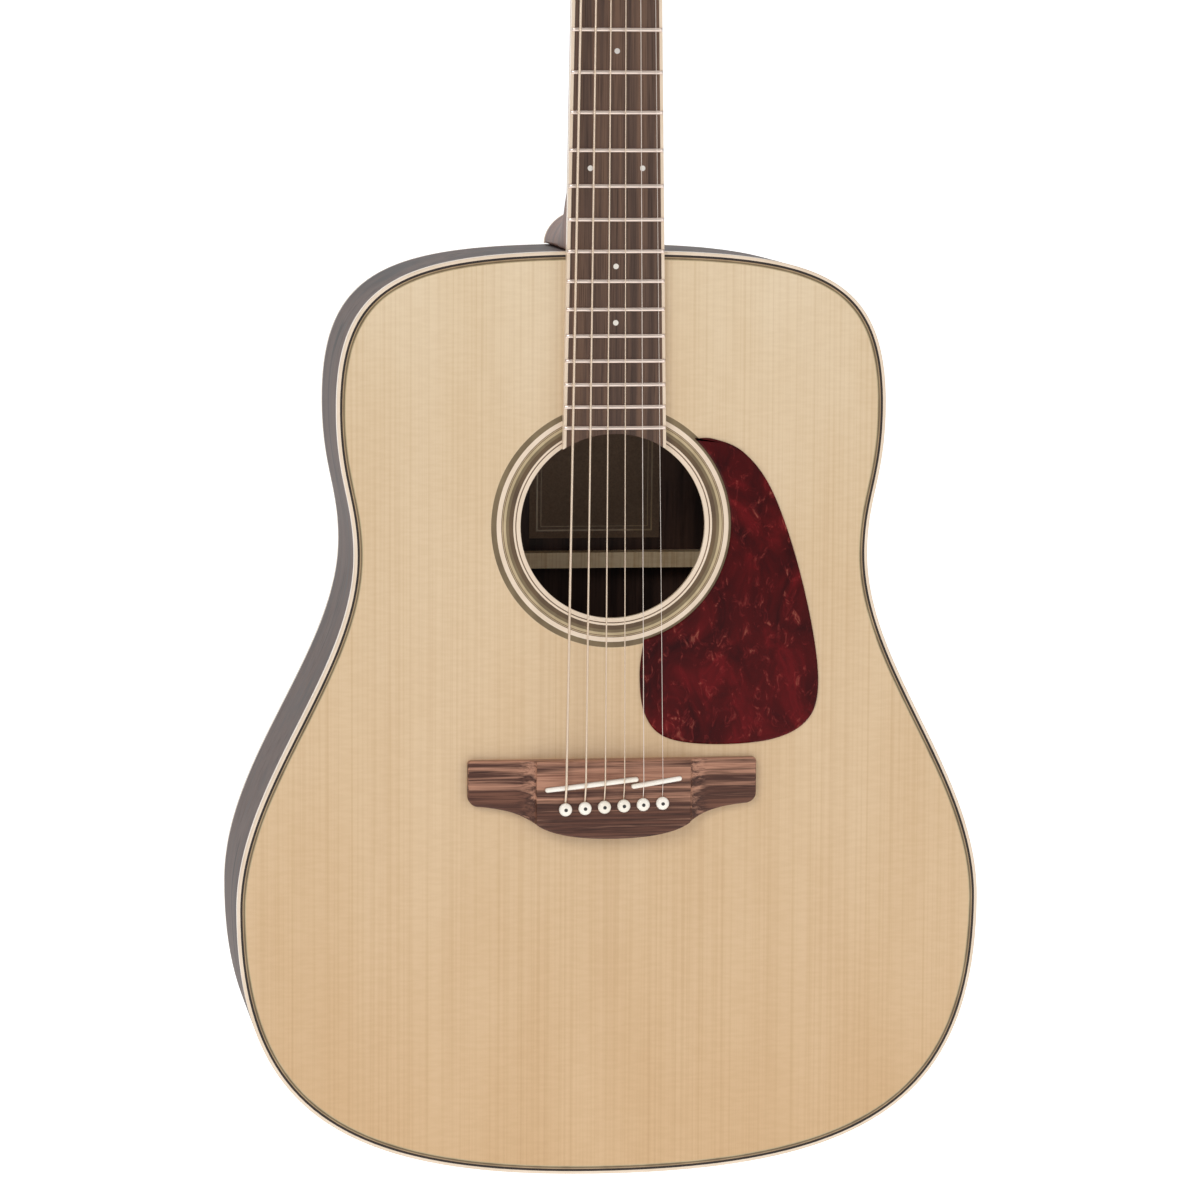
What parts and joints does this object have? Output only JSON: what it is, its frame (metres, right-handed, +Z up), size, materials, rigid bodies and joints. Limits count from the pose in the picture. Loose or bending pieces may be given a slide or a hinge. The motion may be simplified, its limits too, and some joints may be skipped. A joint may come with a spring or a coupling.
{
  "type": "acoustic guitar",
  "caption": "Flat-top steel-string acoustic guitar with a dreadnought body, braced inside, with geared tuners and a two-piece saddle.",
  "frame": {"origin": "on the centre line where the nut meets the neck, in the plane of the soundboard's face; a wall hanger's yoke holds the guitar here, under the headstock", "axes": "+Z up the neck, -Y the way the soundboard faces, +X the treble side"},
  "size_m": [0.41, 0.1353, 1.0577],
  "materials": {
    "spruce": "gloss lacquer over straight-grained spruce",
    "inner_spruce": "bare",
    "mahogany": "satin lacquer",
    "dark_sides": "gloss lacquer over dark rosewood",
    "rosewood": "oiled",
    "cream": "gloss",
    "rosette_wood": "gloss lacquer over inlaid rings",
    "bone": "polished",
    "tortoiseshell": "gloss",
    "steel": "drawn wire",
    "chrome": "polished",
    "bronze": "wound wire"
  },
  "bodies": {
    "guitar": {"soundboard": "spruce", "back_plate": "dark_sides", "side_bass": "dark_sides", "side_treble": "dark_sides", "neck_block": "mahogany", "tail_block": "mahogany", "lining_top": "inner_spruce", "lining_back": "inner_spruce", "binding_top": "cream", "binding_back": "cream", "rosette": "rosette_wood", "pickguard": "tortoiseshell", "bridge": "rosewood", "saddle_long": "bone", "saddle_short": "bone", "bridge_pin_1": "bone", "bridge_pin_2": "bone", "bridge_pin_3": "bone", "bridge_pin_4": "bone", "bridge_pin_5": "bone", "bridge_pin_6": "bone", "bridge_plate": "mahogany", "x_brace_bass": "inner_spruce", "x_brace_treble": "inner_spruce", "transverse_brace": "inner_spruce", "back_brace_1": "inner_spruce", "back_brace_2": "inner_spruce", "back_brace_3": "inner_spruce", "back_brace_4": "inner_spruce", "neck": "mahogany", "heel_cap": "cream", "fingerboard": "rosewood", "nut": "bone", "truss_rod": "steel", "strap_button": "bone", "string_1": "bronze", "string_2": "bronze", "string_3": "bronze", "string_4": "bronze", "string_5": "steel", "string_6": "steel", "tuner_housing_1": "chrome", "tuner_housing_2": "chrome", "tuner_housing_3": "chrome", "tuner_housing_4": "chrome", "tuner_housing_5": "chrome", "tuner_housing_6": "chrome"},
    "rod_nut": {"truss_rod_nut": "steel"},
    "knob_1": {"tuner_knob_1": "chrome"},
    "knob_2": {"tuner_knob_2": "chrome"},
    "knob_3": {"tuner_knob_3": "chrome"},
    "knob_4": {"tuner_knob_4": "chrome"},
    "knob_5": {"tuner_knob_5": "chrome"},
    "knob_6": {"tuner_knob_6": "chrome"},
    "post_1": {"tuner_post_1": "chrome"},
    "post_2": {"tuner_post_2": "chrome"},
    "post_3": {"tuner_post_3": "chrome"},
    "post_4": {"tuner_post_4": "chrome"},
    "post_5": {"tuner_post_5": "chrome"},
    "post_6": {"tuner_post_6": "chrome"}
  },
  "joints": [
    {"name": "knob_1_turn", "type": "hinge", "parent": "guitar", "child": "knob_1", "pos_m": [-0.01835, 0.02637, 0.0327], "axis": [1, 0, 0], "continuous": true},
    {"name": "knob_2_turn", "type": "hinge", "parent": "guitar", "child": "knob_2", "pos_m": [-0.01994, 0.03629, 0.07248], "axis": [1, 0, 0], "continuous": true},
    {"name": "knob_3_turn", "type": "hinge", "parent": "guitar", "child": "knob_3", "pos_m": [-0.02154, 0.04621, 0.11226], "axis": [1, 0, 0], "continuous": true},
    {"name": "knob_4_turn", "type": "hinge", "parent": "guitar", "child": "knob_4", "pos_m": [0.02154, 0.04621, 0.11226], "axis": [1, 0, 0], "continuous": true},
    {"name": "knob_5_turn", "type": "hinge", "parent": "guitar", "child": "knob_5", "pos_m": [0.01994, 0.03629, 0.07248], "axis": [1, 0, 0], "continuous": true},
    {"name": "knob_6_turn", "type": "hinge", "parent": "guitar", "child": "knob_6", "pos_m": [0.01835, 0.02637, 0.0327], "axis": [1, 0, 0], "continuous": true},
    {"name": "post_1_turn", "type": "hinge", "parent": "guitar", "child": "post_1", "pos_m": [-0.01835, 0.02816, 0.03988], "axis": [0, -0.9703, 0.2419], "continuous": true},
    {"name": "post_2_turn", "type": "hinge", "parent": "guitar", "child": "post_2", "pos_m": [-0.01994, 0.03808, 0.07966], "axis": [0, -0.9703, 0.2419], "continuous": true},
    {"name": "post_3_turn", "type": "hinge", "parent": "guitar", "child": "post_3", "pos_m": [-0.02154, 0.048, 0.11944], "axis": [0, -0.9703, 0.2419], "continuous": true},
    {"name": "post_4_turn", "type": "hinge", "parent": "guitar", "child": "post_4", "pos_m": [0.02154, 0.048, 0.11944], "axis": [0, -0.9703, 0.2419], "continuous": true},
    {"name": "post_5_turn", "type": "hinge", "parent": "guitar", "child": "post_5", "pos_m": [0.01994, 0.03808, 0.07966], "axis": [0, -0.9703, 0.2419], "continuous": true},
    {"name": "post_6_turn", "type": "hinge", "parent": "guitar", "child": "post_6", "pos_m": [0.01835, 0.02816, 0.03988], "axis": [0, -0.9703, 0.2419], "continuous": true},
    {"name": "rod_nut_turn", "type": "hinge", "parent": "guitar", "child": "rod_nut", "pos_m": [0, 0.008, -0.39813], "axis": [0, 0, 1], "range_deg": [-360, 360]}
  ],
  "couplings": [
    {"joint": "post_1_turn", "follows": "knob_1_turn", "ratio": -0.071429},
    {"joint": "post_2_turn", "follows": "knob_2_turn", "ratio": -0.071429},
    {"joint": "post_3_turn", "follows": "knob_3_turn", "ratio": -0.071429},
    {"joint": "post_4_turn", "follows": "knob_4_turn", "ratio": -0.071429},
    {"joint": "post_5_turn", "follows": "knob_5_turn", "ratio": -0.071429},
    {"joint": "post_6_turn", "follows": "knob_6_turn", "ratio": -0.071429}
  ]
}
